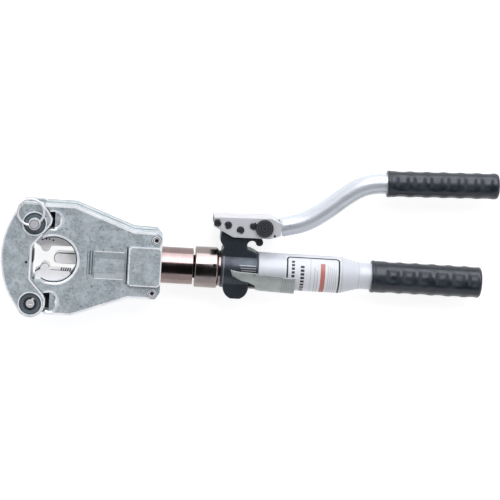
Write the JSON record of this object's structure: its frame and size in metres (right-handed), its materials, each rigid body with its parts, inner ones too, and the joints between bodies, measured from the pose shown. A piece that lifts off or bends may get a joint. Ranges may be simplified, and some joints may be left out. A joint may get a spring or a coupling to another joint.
{
  "type": "hydraulic crimping tool",
  "caption": "Hand-pumped hydraulic crimping tool with a flip-open cast head, converging indentors, swivel ram, pump lever and reservoir handle.",
  "frame": {"origin": "on the ram axis at the crimp station, in the parting plane of the head", "axes": "+X from the head to the handles, +Y towards the pump lever, +Z out through the front cover"},
  "size_m": [0.5509, 0.1888, 0.0618],
  "materials": {
    "black_anodised": "satin",
    "bronze_anodised": "gloss anodised",
    "cast": "cast, fine grain",
    "collar_anodised": "gloss anodised",
    "dark_steel": "black oxide",
    "grip": "satin",
    "label": "satin",
    "lever_paint": "satin",
    "pin_steel": "oiled",
    "polished": "polished",
    "release": "satin",
    "reservoir_alu": "satin",
    "seal": "matt",
    "steel": "ground",
    "tube_alu": "satin polished",
    "yoke_cast": "cast, fine grain"
  },
  "bodies": {
    "head": {"front_cover": "cast", "rear_cover": "cast", "cover_screws": "steel", "hinge_pin": "steel", "hinge_pin_clips": "dark_steel", "ram_cylinder": "bronze_anodised", "swivel_retainer": "dark_steel", "swivel_seal": "seal", "return_spring": "steel"},
    "yoke_arm": {"yoke": "yoke_cast", "yoke_indentor": "polished", "indentor_set_screw": "dark_steel"},
    "latch": {"latch_pin": "polished"},
    "ring": {"pull_ring": "polished"},
    "ram": {"ram_indentor": "polished", "ram_carrier": "steel", "ram_piston": "steel", "piston_seal": "seal"},
    "upper_die": {"upper_indentor": "polished"},
    "lower_die": {"lower_indentor": "polished"},
    "pump": {"swivel_collar": "collar_anodised", "collar_set_screw": "dark_steel", "lock_ring": "bronze_anodised", "pump_block": "black_anodised", "plunger_seal": "seal", "suction_ball": "steel", "pressure_ball": "steel", "relief_valve": "dark_steel", "stop_bumper": "dark_steel", "release_bracket": "black_anodised", "release_lever_pin": "pin_steel", "fulcrum_pin": "pin_steel", "fulcrum_clips": "dark_steel", "reservoir_tube": "reservoir_alu", "reservoir_bladder": "seal", "label_plate": "label", "lower_grip": "grip"},
    "lever": {"lever_fork": "lever_paint", "drive_pin": "pin_steel", "lever_spacer_pins": "pin_steel", "pin_clips": "dark_steel", "handle_bolt": "dark_steel", "lever_set_screw": "dark_steel", "handle_tube": "tube_alu", "upper_grip": "grip"},
    "plunger": {"pump_plunger": "polished"},
    "release": {"release_lever": "release"},
    "release_stem": {"release_valve_stem": "steel"}
  },
  "joints": [
    {"name": "yoke_swing", "type": "hinge", "parent": "head", "child": "yoke_arm", "pos_m": [-0.0108, -0.0481, 0], "axis": [0, 0, 1], "range_deg": [0, 95]},
    {"name": "latch_pin_pull", "type": "slide", "parent": "yoke_arm", "child": "latch", "axis": [0, 0, 1], "range_m": [0, 0.045]},
    {"name": "pull_ring_swing", "type": "hinge", "parent": "latch", "child": "ring", "pos_m": [-0.01, 0.0415, 0.0292], "axis": [0.9426, 0.3338, 0], "range_deg": [0, 170]},
    {"name": "ram_slide", "type": "slide", "parent": "head", "child": "ram", "axis": [-1, 0, 0], "range_m": [0, 0.006], "stiffness_N_per_m": 3000, "springref_m": -0.01, "deforming": ["return_spring"]},
    {"name": "upper_die_slide", "type": "slide", "parent": "head", "child": "upper_die", "axis": [0, -1, 0], "range_m": [0, 0.0042]},
    {"name": "lower_die_slide", "type": "slide", "parent": "head", "child": "lower_die", "axis": [0, 1, 0], "range_m": [0, 0.0042]},
    {"name": "head_swivel", "type": "hinge", "parent": "head", "child": "pump", "pos_m": [0.18, 0, 0], "axis": [1, 0, 0], "range_deg": [-175, 175]},
    {"name": "pump_lever", "type": "hinge", "parent": "pump", "child": "lever", "pos_m": [0.203, 0.0515, 0], "axis": [0, 0, 1], "range_deg": [0, 40]},
    {"name": "plunger_slide", "type": "slide", "parent": "pump", "child": "plunger", "axis": [0, 1, 0], "range_m": [0, 0.0106]},
    {"name": "release_lever_press", "type": "hinge", "parent": "pump", "child": "release", "pos_m": [0.236, -0.01111, 0.01711], "axis": [0, 0.8387, 0.5446], "range_deg": [0, 2.5], "stiffness_Nm_per_rad": 1, "springref_deg": -1.72},
    {"name": "release_stem_slide", "type": "slide", "parent": "pump", "child": "release_stem", "axis": [0, -0.2079, 0.9781], "range_m": [0, 0.001]}
  ],
  "couplings": [
    {"joint": "upper_die_slide", "follows": "ram_slide", "ratio": 0.7},
    {"joint": "lower_die_slide", "follows": "ram_slide", "ratio": 0.7},
    {"joint": "plunger_slide", "follows": "pump_lever", "m_per_rad": 0.0145},
    {"joint": "release_stem_slide", "follows": "release_lever_press", "m_per_rad": 0.0212}
  ]
}
